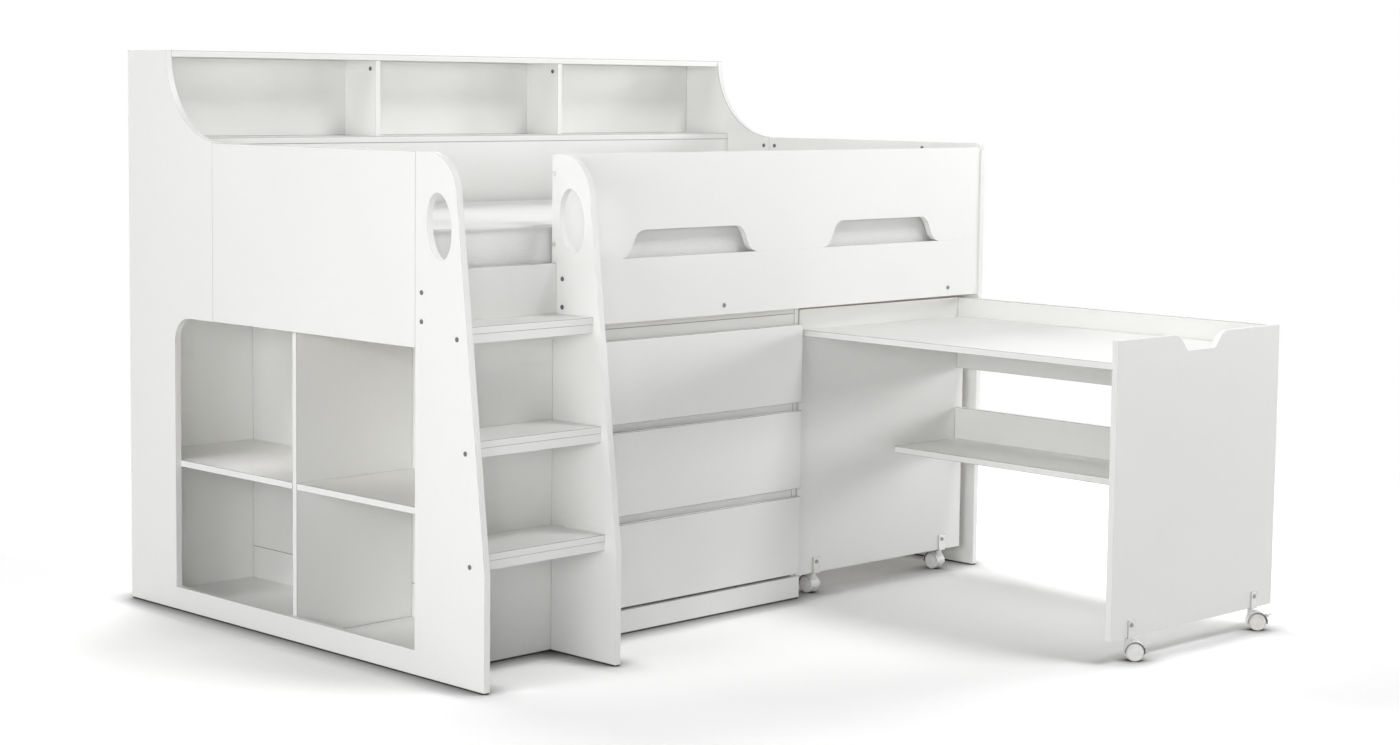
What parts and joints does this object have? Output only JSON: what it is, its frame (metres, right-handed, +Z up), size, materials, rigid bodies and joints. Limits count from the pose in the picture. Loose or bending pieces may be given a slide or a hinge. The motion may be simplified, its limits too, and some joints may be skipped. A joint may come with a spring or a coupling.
{
  "type": "cabin bed",
  "caption": "Raised single bed with a mattress, a ladder, an end cube store, a chest of drawers, a bookcase over the back and a desk on castors that parks beneath.",
  "frame": {"origin": "middle of the footprint on the floor, with the desk pulled out", "axes": "+X along the bed from the ladder end to the desk end, +Y from the front to the back, +Z up"},
  "size_m": [1.953, 2.1376, 1.369],
  "materials": {
    "white_board": "white melamine board, satin",
    "mattress_cloth": "white woven mattress cloth with a taped edge",
    "pine": "bare pine",
    "steel": "zinc plated, satin",
    "hood_plastic": "white, semi-gloss",
    "wheel_plastic": "light grey, matt"
  },
  "bodies": {
    "bed": {"left_side_panel": "white_board", "left_end_board": "white_board", "right_rear_side": "white_board", "right_end_panel": "white_board", "right_stringer": "white_board", "bookcase_top": "white_board", "bookcase_shelf": "white_board", "bookcase_back": "white_board", "bookcase_dividers": "white_board", "rear_guard_board": "white_board", "rear_side_rail": "white_board", "front_guard_rail": "white_board", "front_side_rail": "white_board", "ladder_riser": "white_board", "ladder_back_panel": "white_board", "upper_tread": "white_board", "middle_tread": "white_board", "lower_tread": "white_board", "tread_bearers": "white_board", "cube_rear_wall": "white_board", "cube_back_panel": "white_board", "cube_back_rail": "white_board", "cube_divider": "white_board", "cube_shelves": "white_board", "cube_base": "white_board", "chest_sides": "white_board", "chest_top": "white_board", "chest_top_rail": "white_board", "chest_rails": "white_board", "chest_back": "white_board", "chest_plinth": "white_board", "slat_cleats": "pine", "bed_slats": "pine", "mattress": "mattress_cloth", "drawer_runners": "steel", "bed_bolts": "steel"},
    "top_drawer": {"top_drawer_front": "white_board", "top_drawer_box": "white_board"},
    "middle_drawer": {"middle_drawer_front": "white_board", "middle_drawer_box": "white_board"},
    "bottom_drawer": {"bottom_drawer_front": "white_board", "bottom_drawer_box": "white_board"},
    "desk": {"desk_top": "white_board", "desk_outer_panel": "white_board", "desk_inner_panel": "white_board", "desk_back_rail": "white_board", "desk_shelf": "white_board", "desk_shelf_rail": "white_board", "castor_brackets": "steel", "castor_screws": "steel"},
    "outer_left_castor": {"outer_left_castor_hood": "hood_plastic"},
    "outer_left_wheels": {"outer_left_castor_wheels": "wheel_plastic"},
    "outer_left_brake": {"outer_left_castor_brake": "hood_plastic"},
    "outer_right_castor": {"outer_right_castor_hood": "hood_plastic"},
    "outer_right_wheels": {"outer_right_castor_wheels": "wheel_plastic"},
    "outer_right_brake": {"outer_right_castor_brake": "hood_plastic"},
    "inner_left_castor": {"inner_left_castor_hood": "hood_plastic"},
    "inner_left_wheels": {"inner_left_castor_wheels": "wheel_plastic"},
    "inner_right_castor": {"inner_right_castor_hood": "hood_plastic"},
    "inner_right_wheels": {"inner_right_castor_wheels": "wheel_plastic"}
  },
  "joints": [
    {"name": "top_drawer_slide", "type": "slide", "parent": "bed", "child": "top_drawer", "axis": [0, -1, 0], "range_m": [0, 0.33]},
    {"name": "middle_drawer_slide", "type": "slide", "parent": "bed", "child": "middle_drawer", "axis": [0, -1, 0], "range_m": [0, 0.33]},
    {"name": "bottom_drawer_slide", "type": "slide", "parent": "bed", "child": "bottom_drawer", "axis": [0, -1, 0], "range_m": [0, 0.33]},
    {"name": "desk_roll", "type": "slide", "parent": "bed", "child": "desk", "axis": [0.0297, 0.9996, 0], "range_m": [0, 0.94]},
    {"name": "outer_left_castor_swivel", "type": "hinge", "parent": "desk", "child": "outer_left_castor", "pos_m": [0.32519, -1.01403, 0.05], "axis": [0, 0, 1], "continuous": true},
    {"name": "outer_left_wheels_roll", "type": "hinge", "parent": "outer_left_castor", "child": "outer_left_wheels", "pos_m": [0.33616, -1.02567, 0.0215], "axis": [0.7278, 0.6858, 0], "continuous": true},
    {"name": "outer_left_brake_press", "type": "hinge", "parent": "outer_left_castor", "child": "outer_left_brake", "pos_m": [0.35238, -1.04288, 0.03515], "axis": [0.7278, 0.6858, 0], "range_deg": [0, 12]},
    {"name": "outer_right_castor_swivel", "type": "hinge", "parent": "desk", "child": "outer_right_castor", "pos_m": [0.81897, -1.02868, 0.05], "axis": [0, 0, 1], "continuous": true},
    {"name": "outer_right_wheels_roll", "type": "hinge", "parent": "outer_right_castor", "child": "outer_right_wheels", "pos_m": [0.82995, -1.04033, 0.0215], "axis": [0.7278, 0.6858, 0], "continuous": true},
    {"name": "outer_right_brake_press", "type": "hinge", "parent": "outer_right_castor", "child": "outer_right_brake", "pos_m": [0.84616, -1.05753, 0.03515], "axis": [0.7278, 0.6858, 0], "range_deg": [0, 12]},
    {"name": "inner_left_castor_swivel", "type": "hinge", "parent": "desk", "child": "inner_left_castor", "pos_m": [0.3542, -0.03646, 0.05], "axis": [0, 0, 1], "continuous": true},
    {"name": "inner_left_wheels_roll", "type": "hinge", "parent": "inner_left_castor", "child": "inner_left_wheels", "pos_m": [0.35468, -0.02047, 0.0215], "axis": [-0.9996, 0.0297, 0], "continuous": true},
    {"name": "inner_right_castor_swivel", "type": "hinge", "parent": "desk", "child": "inner_right_castor", "pos_m": [0.84799, -0.05111, 0.05], "axis": [0, 0, 1], "continuous": true},
    {"name": "inner_right_wheels_roll", "type": "hinge", "parent": "inner_right_castor", "child": "inner_right_wheels", "pos_m": [0.84846, -0.03512, 0.0215], "axis": [-0.9996, 0.0297, 0], "continuous": true}
  ]
}
